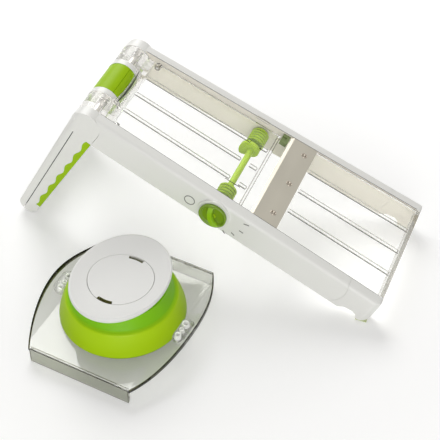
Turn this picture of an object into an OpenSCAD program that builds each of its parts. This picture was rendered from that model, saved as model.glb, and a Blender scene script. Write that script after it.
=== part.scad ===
// Hand mandoline slicer with a folding leg and a separate food holder.
// Millimetres, +Z up, the floor at Z = 0, origin at the middle of the near foot pad's face.

/* [Body] */
// Length along the rails
body_len = 366; // [320:1:420]
// Outer width at the high end
top_width = 132; // [120:1:150]
// Outer width at the foot end
foot_width = 158; // [140:1:180]
// Width of one side rail
rail_w = 12; // [10:0.5:16]
// Depth of the side rails
rail_h = 38; // [34:0.5:44]
// Incline of the rails when standing
tilt = 22.9; // [15:0.1:30]

/* [Blade and ramps] */
// Where the cutting edge lies along the rails
blade_at = 205.3; // [190:0.1:230]
// Width of the blade plate along the rails
blade_w = 31.3; // [25:0.1:40]
// Slot between the infeed ramp and the cutting edge
slot_w = 10.2; // [8:0.1:14]
// Height of the raised ribs
rib_h = 0.8; // [0.5:0.1:1.2]
// Width of the raised ribs
rib_w = 4.4; // [3:0.1:6]

/* [Leg] */
// Radius of the hinge barrel and of the leg's top end
barrel_r = 16.6; // [15:0.1:18]
// Radius of the leg's bottom end
leg_end_r = 11.3; // [9:0.1:13]
// Lean of the leg away from square to the rails
lean = 6.9; // [0:0.1:12]
// Length of the green band on the barrel
band_len = 42; // [30:1:60]

/* [Dial] */
// Place of the dial along the rails
dial_at = 175; // [165:1:185]
// Radius of the dial
dial_r = 15; // [12:0.5:16]
// Radius of the ribbed cams
cam_r = 10; // [8:0.1:10]

/* [Food holder] */
// Length of the guard over its two skirts
guard_len = 174; // [165:1:190]
// How far the guard's middle reaches past the soft body on each side
guard_out = 17.5; // [14:0.5:22]
// Height of the guard's flat top
guard_h = 19; // [17:0.5:24]
// Radius of the soft body's foot
soft_r = 64.5; // [58:0.5:66]
// Long half width of the oval cap
cap_a = 59.5; // [55:0.5:64]
// Short half width of the oval cap
cap_b = 48.5; // [46:0.5:54]
// Radius of the round button
button_r = 33; // [30:0.1:35]
// Turn of the holder on the table
holder_turn = -5.2; // [-20:0.1:20]

/* [Hidden] */

// clearances
run_fit = 0.06;
part_gap = 0.3;
ramp_gap = 0.5;
seat_gap = 0.15;

// body frame: u along the rails, v across, w square to the rails
half_top = top_width / 2;
half_foot = foot_width / 2;
inner_top = half_top - rail_w;
inner_foot = half_foot - rail_w;
spread = (half_foot - half_top) / body_len;
taper_ang = atan(spread);
foot_u = body_len - 2;
pad_t = 2;
foot_drop = rail_h - 2.2;
slant = tan(tilt);

// foot pads lie flat on the floor; the near one's middle is the origin
pad_len = 12;
pad_wide = 8.6;
pad_x = -3;
pad_y = half_foot - rail_w / 2;

// hinge axis of the leg in the body frame
axis_u = barrel_r + 0.9;
axis_w = -barrel_r;
axle_r = 3;
axis_z = (foot_u - axis_u) * sin(tilt) + (axis_w + foot_drop) * cos(tilt);
leg_pad_out = 0.8;
leg_s = (axis_z - leg_end_r - leg_pad_out) / cos(tilt + lean);
arm_in = inner_top;
arm_out = half_top + 0.5;
ring_w = 7;
bore_face = band_len / 2 + ring_w + part_gap;

// infeed ramp pivot
pin_u = 44;
pin_w = -8;
pin_r = 1.5;
eye_r = 3.4;
ramp_t = 2;
ramp_top = 1.5;
ramp_slope = 0.754;
ramp_len = blade_at - slot_w - pin_u;

// cross shaft
shaft_r = 3.5;
shaft_w = -19.4;
bezel_r = dial_r + 3;
bezel_v = -(half_top + dial_at * spread + 1.8);
cam_out = half_top - rail_w + dial_at * spread - 1.7;
near_cam_len = 25;
pocket = 1.2;
// lift disc: smallest and largest radius
far_cam_len = 20;
cam_low = cam_r - pocket;
cam_high = cam_low + 6.4;

// end caps
seam_u = body_len - 66;
seam_w = -14;
seam_r = 31;
tongue_lo = -31;
tongue_hi = -9;
screw_u = seam_u + 16;

// food holder
holder_x = -226.7;
holder_y = -170.4;
plate_t = 3;
guard_end_w = 2 * (soft_r - 7);
guard_mid_w = 2 * (soft_r + guard_out);
curl_x = guard_end_w / 2 - 1;
curl_r = 31;
side_sag = (guard_mid_w - guard_end_w) / 2;
side_r = (pow(guard_len / 2, 2) + pow(side_sag, 2)) / (2 * side_sag);
sleeve_in = button_r + 0.4;
sleeve_out = sleeve_in + 3;
neck_r = sleeve_out + 10.1;
crease_r = soft_r - 8;
cap_lo = 59.5;
cap_hi = 70.5;
dish_r = 196;
dish_z = cap_lo + 3 + dish_r;

function arc(cx, cy, r, a0, a1, n) =
    [for (i = [0:n]) [cx + r * cos(a0 + (a1 - a0) * i / n), cy + r * sin(a0 + (a1 - a0) * i / n)]];

function oval(a, b, n) = [for (i = [0:n - 1]) [b * cos(360 * i / n), a * sin(360 * i / n)]];

function inner_half(u) = inner_top + u * spread;
function floor_w(u) = -foot_drop + (u - foot_u) * slant;

// the inclined frame of the slicer body
module lay() {
    translate([-pad_x, pad_y, 0])
        rotate([0, tilt, 0])
            translate([-foot_u, 0, foot_drop])
                children();
}

// everything below the top of the foot pads, seen from the inclined frame
module under_pads() {
    translate([foot_u, 0, -foot_drop])
        rotate([0, -tilt, 0])
            translate([-60, -100, -40])
                cube([120, 200, 40 + pad_t]);
}

// a (u, w) outline carried across from v0 to v1
module across(v0, v1) {
    translate([0, v1, 0])
        rotate([90, 0, 0])
            linear_extrude(height = v1 - v0)
                children();
}

// a round bar along v
module bar_v(u, w, r, v0, v1) {
    translate([u, v1, w])
        rotate([90, 0, 0])
            cylinder(h = v1 - v0, r = r, $fn = 64);
}

// near side as drawn, far side mirrored
module far_side() {
    mirror([0, 1, 0])
        children();
}

module both_sides() {
    children();
    far_side()
        children();
}

// frame of the near rail: u along it, v from its outer face inwards
module rail_frame() {
    translate([0, -half_top, 0])
        rotate([0, 0, -taper_ang])
            children();
}

// rail section with a well rounded outer top edge
module rail_section(len0, len1) {
    pts = concat(arc(5, -5, 5, 180, 90, 8), arc(rail_w - 1, -1, 1, 90, 0, 3),
                 arc(rail_w - 1, 1 - rail_h, 1, 0, -90, 3), arc(3, 3 - rail_h, 3, -90, -180, 6));
    translate([len0, 0, 0])
        rotate([90, 0, 90])
            linear_extrude(height = len1 - len0)
                polygon(pts);
}

// space between the rails, less a gap on both sides
module between(u0, u1, w0, w1, gap) {
    translate([0, 0, w0])
        linear_extrude(height = w1 - w0)
            polygon([[u0, -(inner_half(u0) - gap)], [u1, -(inner_half(u1) - gap)],
                     [u1, inner_half(u1) - gap], [u0, inner_half(u0) - gap]]);
}

// leg arm outline about the hinge axis, x towards the foot end
function arm_pts(o) =
    let (b = asin((barrel_r - leg_end_r) / leg_s))
    concat(arc(0, 0, barrel_r + o, -b, 180 + b, 28),
           arc(0, -leg_s, leg_end_r + o, 180 + b, 360 - b, 20));

module arm_frame() {
    translate([axis_u, 0, axis_w])
        rotate([0, lean, 0])
            children();
}

// space swept clear for the leg's top end
module leg_clear() {
    arm_frame()
        across(-100, 100)
            polygon(arm_pts(part_gap));
    translate([axis_u - 30, -100, -60])
        cube([36.5, 200, 80]);
}

module near_rail_blank() {
    difference() {
        rail_frame()
            difference() {
                rail_section(axis_u, seam_u + seam_r + 5);
                // curved seam towards the end cap
                across(-1, rail_w + 1)
                    difference() {
                        translate([seam_u, -rail_h - 2])
                            square([seam_r + 8, rail_h + 4]);
                        translate([seam_u, seam_w])
                            circle(r = seam_r, $fn = 96);
                    }
                // pocket for the end cap's tongue
                translate([seam_u - 5, 3, tongue_lo])
                    cube([seam_r + 10, rail_w - 6, tongue_hi - tongue_lo]);
                // hollow underside
                translate([62, 2.6, -rail_h - 1])
                    cube([90, rail_w - 5.2, rail_h - 4]);
                translate([200, 2.6, -rail_h - 1])
                    cube([seam_u - 212, rail_w - 5.2, rail_h - 4]);
                // screw through the underside into the tongue
                translate([screw_u, rail_w / 2, -rail_h - 1])
                    cylinder(h = 12, r = 1.6, $fn = 32);
                translate([screw_u, rail_w / 2, -rail_h - 1])
                    cylinder(h = 3, r = 2.8, $fn = 32);
            }
        leg_clear();
        bar_v(pin_u, pin_w, pin_r, -inner_half(pin_u) - 5, -inner_half(pin_u) + 1);
    }
}

module near_rail() {
    color("white")
        lay()
            difference() {
                union() {
                    near_rail_blank();
                    bar_v(dial_at, shaft_w, bezel_r, bezel_v, bezel_v + 5);
                }
                bar_v(dial_at, shaft_w, shaft_r + run_fit, -half_foot - 5, -inner_top);
            }
}

module far_rail() {
    color("white")
        lay()
            difference() {
                far_side()
                    near_rail_blank();
                bar_v(dial_at, shaft_w, shaft_r + run_fit, inner_top, inner_half(dial_at) + 7.6);
                // slot in the inner top edge
                translate([dial_at - 13, inner_half(dial_at) - 2, -3])
                    cube([15, 3.2, 5]);
            }
}

module near_cap_blank() {
    pts = concat([[seam_u, -rail_h], [seam_u, 0]], arc(body_len - 2.5, -3, 3, 90, 20, 5),
                 [[body_len + 1.4, -12], [body_len + 2, -28],
                  [body_len + 1, floor_w(body_len + 1)],
                  [body_len - 10, floor_w(body_len - 10)],
                  [body_len - 13, -32], [body_len - 18, -29.5], [body_len - 28, -31],
                  [body_len - 33, -36], [body_len - 36, -rail_h]]);
    rail_frame() {
        difference() {
            intersection() {
                rail_section(seam_u - 1, body_len + 10);
                across(-1, rail_w + 1)
                    polygon(pts);
                translate([0, 0, -60])
                    linear_extrude(height = 80)
                        polygon(concat([[seam_u - 5, -1], [body_len - 9, -1]],
                                       arc(body_len - 9, 11, 11, -90, 0, 9),
                                       [[body_len + 2, rail_w + 1], [seam_u - 5, rail_w + 1]]));
            }
            across(-1, rail_w + 1)
                translate([seam_u, seam_w])
                    circle(r = seam_r + 0.2, $fn = 96);
        }
        difference() {
            translate([seam_u - 3, 3 + seat_gap, tongue_lo + seat_gap])
                cube([seam_r + 12, rail_w - 6 - 2 * seat_gap,
                      tongue_hi - tongue_lo - 2 * seat_gap]);
            translate([screw_u, rail_w / 2, -rail_h])
                cylinder(h = 14, r = 1.4, $fn = 32);
        }
    }
}

module near_end_cap() {
    color("white")
        lay()
            difference() {
                near_cap_blank();
                under_pads();
            }
}

module far_end_cap() {
    color("white")
        lay()
            difference() {
                far_side()
                    near_cap_blank();
                under_pads();
            }
}

module foot_pads() {
    color("yellowgreen")
        for (y = [0, 2 * pad_y])
            translate([-pad_len / 2, y - pad_wide / 2, 0])
                cube([pad_len, pad_wide, pad_t]);
}

module cap_screws() {
    color("silver")
        lay()
            both_sides()
                rail_frame()
                    translate([screw_u, rail_w / 2, 0]) {
                        translate([0, 0, -rail_h])
                            difference() {
                                cylinder(h = 2, r = 2.6, $fn = 32);
                                translate([-2.2, -0.4, -1])
                                    cube([4.4, 0.8, 1.9]);
                                translate([-0.4, -2.2, -1])
                                    cube([0.8, 4.4, 1.9]);
                            }
                        translate([0, 0, -rail_h + 2])
                            cylinder(h = 11, r = 1.4, $fn = 32);
                    }
}

// clear bracket: two knuckles of the barrel and a hood with a bowed edge behind the band
module end_bracket() {
    wall_u = axis_u + barrel_r + 1.1;
    hood_r = barrel_r + 2.4;
    edge_r = 160;
    color([0.85, 0.88, 0.9, 0.4])
        lay()
            difference() {
                union() {
                    both_sides()
                        across(-inner_top + part_gap, -bore_face) {
                            translate([axis_u, axis_w])
                                circle(r = barrel_r - 0.4, $fn = 96);
                            translate([axis_u, axis_w - barrel_r + 0.6])
                                square([wall_u + 3.2 - axis_u, barrel_r + 10]);
                        }
                    between(wall_u, wall_u + 3.2, axis_w - barrel_r + 0.6, -12, 0.05);
                    intersection() {
                        bar_v(axis_u, axis_w, hood_r, -bore_face - 1, bore_face + 1);
                        translate([axis_u + 9.5, -60, axis_w - 1])
                            cube([40, 120, 40]);
                    }
                }
                bar_v(axis_u, axis_w, barrel_r + 0.7, -bore_face + 0.02, bore_face - 0.02);
                bar_v(axis_u, axis_w, axle_r + 0.05, -100, 100);
                // bowed edge of the hood
                translate([axis_u + 13 - edge_r, 0, -8])
                    intersection() {
                        cylinder(h = 30, r = edge_r, $fn = 360);
                        translate([edge_r - 30, -bore_face + 0.02, -1])
                            cube([60, 2 * bore_face - 0.04, 40]);
                    }
            }
}

module ribs(x0, x1, z, h, u_base) {
    off = inner_half(u_base) / 2;
    for (s = [-1, 0, 1])
        translate([0, s * off, z])
            rotate([0, 0, s * atan(spread / 2)])
                translate([x0, -rib_w / 2, 0])
                    cube([x1 - x0, rib_w, h]);
}

module outfeed_ramp() {
    seat = blade_at + 8;
    back = blade_at + blade_w;
    color([0.85, 0.88, 0.9, 0.4])
        lay()
            difference() {
                union() {
                    // plate with its step under the blade and its end lip
                    intersection() {
                        across(-80, 80)
                            polygon([[seat, -5.4], [body_len - 4.5, -5.4],
                                     [body_len - 4.5, -14], [body_len, -14], [body_len, -1],
                                     [body_len - 4.5, -1], [body_len - 4.5, -2.4],
                                     [back + 0.4, -2.4], [back + 0.4, -1.35], [seat, -1.35]]);
                        between(seat - 5, body_len + 5, -20, 5, 0.05);
                    }
                    ribs(back + 2, body_len - 3, -4, rib_h + 1.7, 0);
                }
                for (v = [-46.3, 0, 46.3])
                    translate([blade_at + 21, v, -8])
                        cylinder(h = 10, r = 2, $fn = 32);
            }
}

module blade() {
    color("silver")
        lay()
            difference() {
                intersection() {
                    across(-80, 80)
                        polygon([[blade_at, -1.3], [blade_at + blade_w, -1.35],
                                 [blade_at + blade_w, -0.15], [blade_at + 3.4, -0.15]]);
                    between(blade_at - 1, blade_at + blade_w + 1, -3, 1, 0.1);
                }
                for (v = [-46.3, 0, 46.3])
                    translate([blade_at + 21, v, -8])
                        cylinder(h = 10, r = 2, $fn = 32);
            }
}

module blade_rivets() {
    color("gainsboro")
        lay()
            for (v = [-46.3, 0, 46.3])
                translate([blade_at + 21, v, 0])
                    rotate_extrude($fn = 48)
                        polygon([[0, -5.2], [2, -5.2], [2, -0.15], [3.4, -0.15], [3.1, 0.2],
                                 [2.2, 0.4], [0.9, 0.42], [0.9, 0.1], [0, 0.1]]);
}

module lock_tab() {
    color("olivedrab")
        lay()
            difference() {
                translate([blade_at - slot_w + 1.1, 49, -7.5])
                    cube([slot_w - 2, inner_half(blade_at - slot_w) - 49 - 0.02, 5.6]);
                translate([blade_at - slot_w, 51.5, -3.2])
                    cube([slot_w - 4, 5.5, 3]);
            }
}

module dial_marks() {
    color("dimgray")
        lay()
            rail_frame() {
                for (m = [[-41, 22.5, 4.5], [-22, 27.5, 4.5], [-2, 31, 5], [20, 33, 6]])
                    translate([dial_at, 0, shaft_w])
                        rotate([0, -m[0], 0])
                            translate([m[1], -0.3, -0.4])
                                cube([m[2], 0.3, 0.9]);
                translate([dial_at - 28, 0, shaft_w - 3.6])
                    rotate([90, 0, 0])
                        difference() {
                            cylinder(h = 0.3, r = 6, $fn = 48);
                            translate([0, 0, -1])
                                cylinder(h = 3, r = 5.2, $fn = 48);
                        }
            }
}

module ramp_pins() {
    v_in = inner_half(pin_u) - 6;
    color("gray")
        lay()
            both_sides()
                bar_v(pin_u, pin_w, pin_r, -inner_half(pin_u) - 4.8, -v_in);
}

// plate that carries the food to the blade; it tilts on its two pins
module infeed_ramp() {
    color([0.85, 0.88, 0.9, 0.4])
        lay()
            difference() {
                intersection() {
                    translate([pin_u, 0, pin_w])
                        rotate([0, ramp_slope, 0])
                            union() {
                                translate([-4, -80, ramp_top - ramp_t])
                                    cube([ramp_len + 4, 160, ramp_t]);
                                translate([ramp_len - 3.4, -80, ramp_top - 6])
                                    cube([3.4, 160, 6]);
                                ribs(-3, dial_at - pin_u - 5, ramp_top - 1, rib_h + 1, pin_u);
                                ribs(dial_at - pin_u + 6, ramp_len - 5, ramp_top - 1,
                                     rib_h + 1, pin_u);
                                both_sides()
                                    bar_v(0, 0, eye_r, -inner_half(pin_u), 6.5 - inner_half(pin_u));
                            }
                    between(20, 240, -30, 10, ramp_gap);
                }
                // shallow pockets over the two cams
                translate([pin_u, 0, pin_w])
                    rotate([0, ramp_slope, 0]) {
                        translate([dial_at - pin_u - 9, -cam_out - 3, ramp_top - ramp_t - 4])
                            cube([18, near_cam_len + 4, 4 + pocket]);
                        translate([dial_at - pin_u - 9, cam_out - far_cam_len - 1,
                                   ramp_top - ramp_t - 4])
                            cube([18, far_cam_len + 4, 4 + pocket]);
                    }
                bar_v(pin_u, pin_w, pin_r + run_fit, -80, -inner_half(pin_u) + 7);
                bar_v(pin_u, pin_w, pin_r + run_fit, inner_half(pin_u) - 7, 80);
            }
}

module dial() {
    v0 = bezel_v - 0.4;
    color("olivedrab")
        lay()
            translate([dial_at, v0, shaft_w])
                rotate([90, 0, 0])
                    difference() {
                        union() {
                            rotate_extrude($fn = 96)
                                polygon([[0, 0], [dial_r - 0.6, 0], [dial_r, 0.6], [dial_r, 2.4],
                                         [dial_r - 1.2, 3.6], [dial_r - 3, 3.2],
                                         [dial_r - 5, 2.6], [0, 2.6]]);
                            intersection() {
                                rotate([0, 0, 34])
                                    translate([dial_r * 1.6, 0, 0])
                                        difference() {
                                            cylinder(h = 7.4, r = dial_r * 1.86, $fn = 128);
                                            translate([0, 0, -1])
                                                cylinder(h = 12, r = dial_r * 1.34, $fn = 128);
                                        }
                                rotate_extrude($fn = 96)
                                    polygon([[0, 0.5], [dial_r - 0.4, 0.5], [dial_r - 0.8, 4.4],
                                             [dial_r - 3, 6.6], [dial_r - 6, 7.3], [0, 7.3]]);
                            }
                        }
                        translate([0, 0, -1])
                            cylinder(h = 3.2, r = shaft_r, $fn = 64);
                    }
}

module cam_shaft() {
    color("yellowgreen")
        lay() {
            bar_v(dial_at, shaft_w, shaft_r, bezel_v - 2.6, inner_half(dial_at) + 6);
        }
}

// ribbed roller under the ramp, from v0 towards v1
module ribbed_cam(v0, len, n) {
    lo = cam_r - 2.3;
    step = len / n;
    pts = concat([[shaft_r, 0]],
                 [for (i = [0:n - 1]) each [[lo, i * step + 0.2], [cam_r - 0.5, i * step + 1.1],
                                            [cam_r, i * step + step / 2],
                                            [cam_r - 0.5, (i + 1) * step - 1.1],
                                            [lo, (i + 1) * step - 0.2]]],
                 [[shaft_r, len]]);
    translate([dial_at, v0, shaft_w])
        rotate([-90, 0, 0])
            rotate_extrude($fn = 96)
                polygon(pts);
}

module near_cam() {
    color("yellowgreen")
        lay()
            ribbed_cam(-cam_out, near_cam_len, 6);
}

module far_cam() {
    color("yellowgreen")
        lay()
            ribbed_cam(cam_out - far_cam_len, far_cam_len, 5);
}

// snail disc: its radius grows evenly over 140 degrees and lifts the ramp
module cam_disc() {
    low = cam_low;
    high = cam_high;
    rise = [for (i = [0:28]) let (a = 90 + i * 5, r = low + (high - low) * i / 28)
            [r * cos(a), r * sin(a)]];
    fall = [for (i = [1:4]) let (a = 230 + i * 7, r = high - (high - low) * i / 4)
            [r * cos(a), r * sin(a)]];
    base = [for (i = [1:18]) let (a = 258 + i * 10) [low * cos(a), low * sin(a)]];
    color("yellowgreen")
        lay()
            difference() {
                translate([dial_at, 33, shaft_w])
                    rotate([90, 0, 0])
                        linear_extrude(height = 4)
                            polygon(concat(rise, fall, base));
                bar_v(dial_at, shaft_w, shaft_r, 20, 40);
            }
}

module shaft_clip() {
    color("silver")
        lay()
            difference() {
                bar_v(dial_at, shaft_w, 6, cam_out + 0.2, cam_out + 1);
                bar_v(dial_at, shaft_w, shaft_r, 50, 70);
                translate([dial_at - 1.5, 50, shaft_w - 10])
                    cube([3, 20, 10]);
            }
}

// split line of the leg: outer shell on one side, inner shell on the other
split_top = [-7, -17];
split_end = [-2.9, -leg_s - 22];

module inner_zone(o) {
    polygon([split_top + [o, 0], [30, split_top[1]], [30, split_end[1]], split_end + [o, 0]]);
}

// the grip's edge: even waves along the arm
wave_n = 6;
wave_p = (leg_s - 25) / wave_n;
function edge_x(s) = barrel_r - (barrel_r - leg_end_r) * s / leg_s;
function wave_pts() =
    [for (i = [0:wave_n * 10]) let (s = 18 + i * wave_p / 10)
        [edge_x(s) - 5.6 - 1.4 * sin(i * 36), -s]];

module grip_2d() {
    s1 = 18 + wave_n * wave_p;
    polygon(concat(wave_pts(), [[edge_x(s1), -s1], [edge_x(18), -18]]));
}

// one leg arm, rounded at its outer back edge
module arm_blank() {
    intersection() {
        across(-arm_out, -arm_in)
            polygon(arm_pts(0));
        translate([0, 0, -leg_s - 40])
            linear_extrude(height = leg_s + 80)
                polygon(concat([[40, -arm_in], [-barrel_r - 1, -arm_in]],
                               [[-barrel_r - 1, 7 - arm_out]],
                               arc(7 - barrel_r, 7 - arm_out, 7, 180, 270, 8),
                               [[40, -arm_out]]));
    }
}

module leg_pad_shape(v0, v1, grow) {
    cx = axis_u - leg_s * sin(lean);
    cw = axis_w - leg_s * cos(lean);
    translate([cx, 0, cw])
        rotate([0, -tilt, 0])
            translate([-5 - grow, v0, -leg_end_r - leg_pad_out])
                cube([10 + 2 * grow, v1 - v0, 5]);
}

module leg_frame() {
    color("white")
        lay()
            difference() {
                union() {
                    both_sides()
                        arm_frame()
                            difference() {
                                arm_blank();
                                across(-arm_out - 1, -arm_in + 1)
                                    inner_zone(0);
                            }
                    // cross bar between the arms
                    arm_frame()
                        across(-arm_in - 1, arm_in + 1)
                            intersection() {
                                polygon(arm_pts(-0.4));
                                translate([-30, -leg_s - 20])
                                    square([25.6, 60]);
                            }
                }
                bar_v(axis_u, axis_w, axle_r, -arm_in - 6, arm_in + 6);
                both_sides()
                    leg_pad_shape(-arm_out + 2.5, -arm_in - 2.5, 0);
            }
}

module leg_inner_shells() {
    color("white")
        lay()
            both_sides()
                difference() {
                    arm_frame()
                        difference() {
                            intersection() {
                                arm_blank();
                                across(-arm_out - 1, -arm_in + 1)
                                    inner_zone(0);
                            }
                            across(-arm_out - 2, -arm_in + 2)
                                grip_2d();
                            // dark parting groove
                            across(-arm_out - 1, -arm_out + 2.5)
                                polygon([split_top + [-1, 0.01], split_top + [0.9, 0.01],
                                         split_end + [0.9, 0], split_end + [-1, 0]]);
                        }
                    leg_pad_shape(-arm_out + 2.5, -arm_in - 2.5, 0);
                }
}

module leg_grips() {
    color("yellowgreen")
        lay()
            both_sides()
                arm_frame()
                    across(-arm_out - 0.4, -arm_in - 0.6)
                        grip_2d();
}

module leg_pads() {
    color("dimgray")
        lay()
            both_sides()
                leg_pad_shape(-arm_out + 2.5, -arm_in - 2.5, 0);
}

module barrel_sleeve() {
    color("yellowgreen")
        lay()
            difference() {
                bar_v(axis_u, axis_w, barrel_r - 0.2, -band_len / 2, band_len / 2);
                bar_v(axis_u, axis_w, axle_r, -100, 100);
                // lengthwise seam
                translate([axis_u, 0, axis_w])
                    rotate([0, -72, 0])
                        translate([barrel_r - 1, -band_len, -0.3])
                            cube([3, 2 * band_len, 0.6]);
            }
}

module barrel_rings() {
    color("white")
        lay()
            both_sides()
                difference() {
                    bar_v(axis_u, axis_w, barrel_r, -band_len / 2 - ring_w, -band_len / 2);
                    bar_v(axis_u, axis_w, axle_r, -100, 100);
                }
}

module leg_axle() {
    color("gray")
        lay()
            bar_v(axis_u, axis_w, axle_r, -arm_in - 6, arm_in + 6);
}

module holder_frame() {
    translate([holder_x - pad_x, holder_y + pad_y, 0])
        rotate([0, 0, holder_turn])
            children();
}

// guard seen along its length: flat middle, sides curling up
module guard_profile() {
    cz = guard_h + curl_r;
    r_out = curl_r + plate_t;
    polygon(concat(arc(curl_x, cz, r_out, -90, -30, 12), arc(curl_x, cz, curl_r, -30, -90, 12),
                   arc(-curl_x, cz, curl_r, 270, 210, 12),
                   arc(-curl_x, cz, r_out, 210, 270, 12)));
}

module guard_outline() {
    cx = guard_mid_w / 2 - side_r;
    intersection() {
        translate([cx, 0])
            circle(r = side_r, $fn = 180);
        translate([-cx, 0])
            circle(r = side_r, $fn = 180);
        square([guard_mid_w + 10, guard_len], center = true);
    }
}

module guard() {
    color([0.85, 0.88, 0.9, 0.4])
        holder_frame()
            difference() {
                union() {
                    intersection() {
                        across(-guard_len / 2, guard_len / 2)
                            guard_profile();
                        linear_extrude(height = 80)
                            guard_outline();
                    }
                    for (y = [-guard_len / 2, guard_len / 2 - 3])
                        translate([1 - guard_end_w / 2, y, 0])
                            cube([guard_end_w - 2, 3, guard_h - 0.4]);
                }
                translate([0, 0, -1])
                    cylinder(h = 60, r = sleeve_in + 0.6, $fn = 96);
            }
}

module capsule(len, r) {
    translate([0, -len / 2, 0])
        rotate([-90, 0, 0])
            cylinder(h = len, r = r, $fn = 64);
    for (y = [-len / 2, len / 2])
        translate([0, y, 0])
            sphere(r = r, $fn = 64);
}

// clear bosses at both sides of the soft body, seated on the curled plate
module guard_clips() {
    seat = arc(curl_x, guard_h + curl_r, curl_r, -90, -30, 12);
    color([0.85, 0.88, 0.9, 0.5])
        holder_frame()
            for (a = [0, 180])
                rotate([0, 0, a])
                    difference() {
                        translate([soft_r + 5.6, 0, guard_h + 3.4])
                            capsule(15, 8);
                        across(-40, 40)
                            polygon(concat([[curl_x, 0]], seat, [[curl_x + 60, guard_h + 15]],
                                           [[curl_x + 60, 0]]));
                        translate([0, 0, -1])
                            cylinder(h = 60, r = soft_r + 0.3, $fn = 96);
                    }
}

// bell shaped soft body with a crease round it
module soft_body() {
    pts = [[sleeve_out + 0.4, guard_h], [soft_r, guard_h], [soft_r, guard_h + 2],
           [soft_r - 0.6, guard_h + 5], [soft_r - 2.2, guard_h + 11],
           [soft_r - 4.8, guard_h + 19], [crease_r, guard_h + 27],
           [crease_r - 0.36 * (crease_r - neck_r), guard_h + 29.5],
           [neck_r + 0.3 * (crease_r - neck_r), guard_h + 34],
           [neck_r + 0.6, cap_lo - 3], [neck_r, cap_lo], [sleeve_out + 4, cap_lo],
           [sleeve_out + 4, cap_lo - 4], [neck_r - 3, guard_h + 34],
           [crease_r - 8, guard_h + 27], [soft_r - 9.5, guard_h + 17],
           [soft_r - 5.5, guard_h + 4], [sleeve_out + 0.4, guard_h + 4]];
    color("yellowgreen")
        holder_frame()
            difference() {
                rotate_extrude($fn = 128)
                    polygon(pts);
                for (a = [0, 180])
                    rotate([0, 0, a])
                        across(-80, 80)
                            difference() {
                                translate([curl_x, guard_h - 20])
                                    square([70, 20 + curl_r]);
                                translate([curl_x, guard_h + curl_r])
                                    circle(r = curl_r - 0.1, $fn = 128);
                            }
            }
}

// oval dished cap with the guide sleeve of the plunger
module holder_cap() {
    steps = 6;
    dz = (cap_hi - cap_lo) / steps;
    color("white")
        holder_frame()
            difference() {
                union() {
                    for (i = [0:steps - 1])
                        translate([0, 0, cap_lo + i * dz])
                            linear_extrude(height = dz + (i < steps - 1 ? 0.01 : 0))
                                polygon(oval(cap_a - 5.5 * pow(1 - i / (steps - 1), 2),
                                             cap_b - 3.2 * pow(1 - i / (steps - 1), 2), 96));
                    translate([0, 0, guard_h])
                        cylinder(h = cap_lo - guard_h + 1, r = sleeve_out, $fn = 96);
                }
                translate([0, 0, guard_h - 1])
                    cylinder(h = 70, r = sleeve_in, $fn = 96);
                intersection() {
                    translate([0, 0, dish_z])
                        sphere(r = dish_r, $fn = 180);
                    translate([0, 0, cap_lo + 2])
                        linear_extrude(height = 20)
                            polygon(oval(cap_a - 3.4, cap_b - 3.4, 96));
                }
            }
}

module button() {
    color("white")
        holder_frame()
            difference() {
                translate([0, 0, cap_lo - 8])
                    cylinder(h = 18, r = button_r, $fn = 96);
                translate([0, 0, dish_z])
                    sphere(r = dish_r, $fn = 180);
                translate([0, 0, cap_lo - 9])
                    cylinder(h = 7, r = button_r - 4.5, $fn = 96);
                // two finger slots in its edge
                for (a = [90, 270])
                    rotate([0, 0, a - 13.5])
                        translate([0, 0, cap_lo - 1])
                            rotate_extrude(angle = 27, $fn = 96)
                                translate([button_r - 3.4, 0])
                                    square([5, 20]);
            }
}

module plunger_tube() {
    color("white")
        holder_frame()
            translate([0, 0, guard_h + 2])
                difference() {
                    cylinder(h = cap_lo - 2 - guard_h - 2, r = 13, $fn = 64);
                    translate([0, 0, -1])
                        cylinder(h = 80, r = 10.4, $fn = 64);
                }
}

module prong_plate() {
    color("white")
        holder_frame()
            difference() {
                translate([0, 0, guard_h - 2])
                    cylinder(h = 4, r = button_r - 1.2, $fn = 96);
                prong_set(guard_h - 3, guard_h + 1.9, 0.9);
            }
}

module prong_set(z0, z1, r) {
    for (ring = [[0, 1], [11, 6], [23, 12]])
        for (i = [0:ring[1] - 1])
            rotate([0, 0, i * 360 / ring[1]])
                translate([ring[0], 0, z0])
                    cylinder(h = z1 - z0, r = r, $fn = 16);
}

module prongs() {
    color("silver")
        holder_frame()
            for (ring = [[0, 1], [11, 6], [23, 12]])
                for (i = [0:ring[1] - 1])
                    rotate([0, 0, i * 360 / ring[1]])
                        translate([ring[0], 0, 0])
                            rotate_extrude($fn = 24)
                                polygon([[0, 5], [0.3, 5], [0.9, 8], [0.9, guard_h - 2],
                                         [0.9, guard_h + 1.9], [0, guard_h + 1.9]]);
}

near_rail();
far_rail();
near_end_cap();
far_end_cap();
foot_pads();
cap_screws();
end_bracket();
outfeed_ramp();
blade();
blade_rivets();
lock_tab();
dial_marks();
ramp_pins();
infeed_ramp();
dial();
cam_shaft();
near_cam();
far_cam();
cam_disc();
shaft_clip();
leg_frame();
leg_inner_shells();
leg_grips();
leg_pads();
barrel_sleeve();
barrel_rings();
leg_axle();
guard();
guard_clips();
soft_body();
holder_cap();
button();
plunger_tube();
prong_plate();
prongs();
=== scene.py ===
import math
import bmesh
import bpy
from mathutils import Matrix, Vector


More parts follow.
